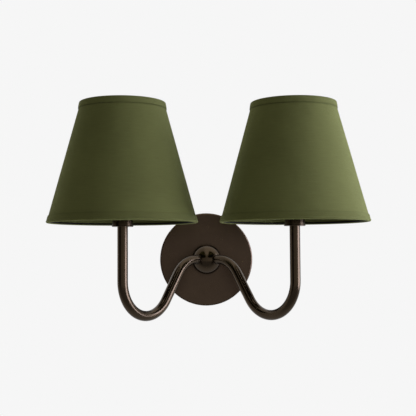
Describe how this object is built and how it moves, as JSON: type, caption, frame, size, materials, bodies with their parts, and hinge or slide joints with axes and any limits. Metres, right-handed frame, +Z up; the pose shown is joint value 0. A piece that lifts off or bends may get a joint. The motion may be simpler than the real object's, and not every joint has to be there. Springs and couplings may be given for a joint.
{
  "type": "double arm wall sconce",
  "caption": "Wall light with a round canopy, a ball hub, two gooseneck arms and a tapered fabric shade with trimmed edges over the bulb on each arm.",
  "frame": {"origin": "centre of the round canopy on the wall plane, midway between the crossbar's two box screw slots", "axes": "+Y into the wall, +X to the right as seen from the room, +Z up"},
  "size_m": [0.3878, 0.2558, 0.2648],
  "materials": {
    "bronze": "satin dark bronze",
    "zinc": "zinc plated",
    "black_wire": "black coated wire and fitter",
    "green_steel": "green ground screw",
    "brass": "plain",
    "phenolic": "moulded black",
    "shade_fabric": "olive green cloth on a stiff liner",
    "trim_fabric": "olive green folded cloth band",
    "bulb_glass": "clear",
    "stem_glass": "stem with filaments",
    "connector": "moulded orange",
    "black_insulation": "insulated wire",
    "white_insulation": "insulated wire",
    "green_insulation": "insulated wire"
  },
  "bodies": {
    "fixture": {"canopy": "bronze", "mounting_strap": "zinc", "canopy_screws": "bronze", "ground_screw": "green_steel", "hub_ball": "bronze", "centre_nipple": "zinc", "ground_tag": "zinc", "lock_washer": "zinc", "centre_nut": "zinc", "ground_lead": "green_insulation", "black_wire_nut": "connector", "white_wire_nut": "connector", "left_arm": "bronze", "left_arm_nipple": "zinc", "left_socket_cup": "bronze", "left_cup_nut": "zinc", "left_socket": "phenolic", "left_screw_shell": "brass", "left_centre_contact": "brass", "left_shade_ring": "phenolic", "left_black_lead": "black_insulation", "left_white_lead": "white_insulation", "right_arm": "bronze", "right_arm_nipple": "zinc", "right_socket_cup": "bronze", "right_cup_nut": "zinc", "right_socket": "phenolic", "right_screw_shell": "brass", "right_centre_contact": "brass", "right_shade_ring": "phenolic", "right_black_lead": "black_insulation", "right_white_lead": "white_insulation"},
    "left_shade": {"left_shade_skin": "shade_fabric", "left_shade_bottom_trim": "trim_fabric", "left_shade_top_trim": "trim_fabric", "left_shade_top_ring": "black_wire", "left_shade_fitter": "black_wire"},
    "left_bulb_carrier": {"left_bulb_tip": "brass"},
    "left_bulb": {"left_bulb_cap": "brass", "left_bulb_glass": "bulb_glass", "left_bulb_stem": "stem_glass"},
    "right_shade": {"right_shade_skin": "shade_fabric", "right_shade_bottom_trim": "trim_fabric", "right_shade_top_trim": "trim_fabric", "right_shade_top_ring": "black_wire", "right_shade_fitter": "black_wire"},
    "right_bulb_carrier": {"right_bulb_tip": "brass"},
    "right_bulb": {"right_bulb_cap": "brass", "right_bulb_glass": "bulb_glass", "right_bulb_stem": "stem_glass"}
  },
  "joints": [
    {"name": "left_shade_turn", "type": "hinge", "parent": "fixture", "child": "left_shade", "pos_m": [-0.10363, -0.1655, 0.0649], "axis": [0, 0, 1], "continuous": true},
    {"name": "left_bulb_rise", "type": "slide", "parent": "fixture", "child": "left_bulb_carrier", "axis": [0, 0, 1], "range_m": [0, 0.01016]},
    {"name": "left_bulb_turn", "type": "hinge", "parent": "left_bulb_carrier", "child": "left_bulb", "pos_m": [-0.10363, -0.1655, 0.0626], "axis": [0, 0, 1], "range_deg": [0, 1440]},
    {"name": "right_shade_turn", "type": "hinge", "parent": "fixture", "child": "right_shade", "pos_m": [0.10363, -0.1655, 0.0649], "axis": [0, 0, 1], "continuous": true},
    {"name": "right_bulb_rise", "type": "slide", "parent": "fixture", "child": "right_bulb_carrier", "axis": [0, 0, 1], "range_m": [0, 0.01016]},
    {"name": "right_bulb_turn", "type": "hinge", "parent": "right_bulb_carrier", "child": "right_bulb", "pos_m": [0.10363, -0.1655, 0.0626], "axis": [0, 0, 1], "range_deg": [0, 1440]}
  ],
  "couplings": [
    {"joint": "left_bulb_rise", "follows": "left_bulb_turn", "m_per_rad": 0.00040425},
    {"joint": "right_bulb_rise", "follows": "right_bulb_turn", "m_per_rad": 0.00040425}
  ]
}
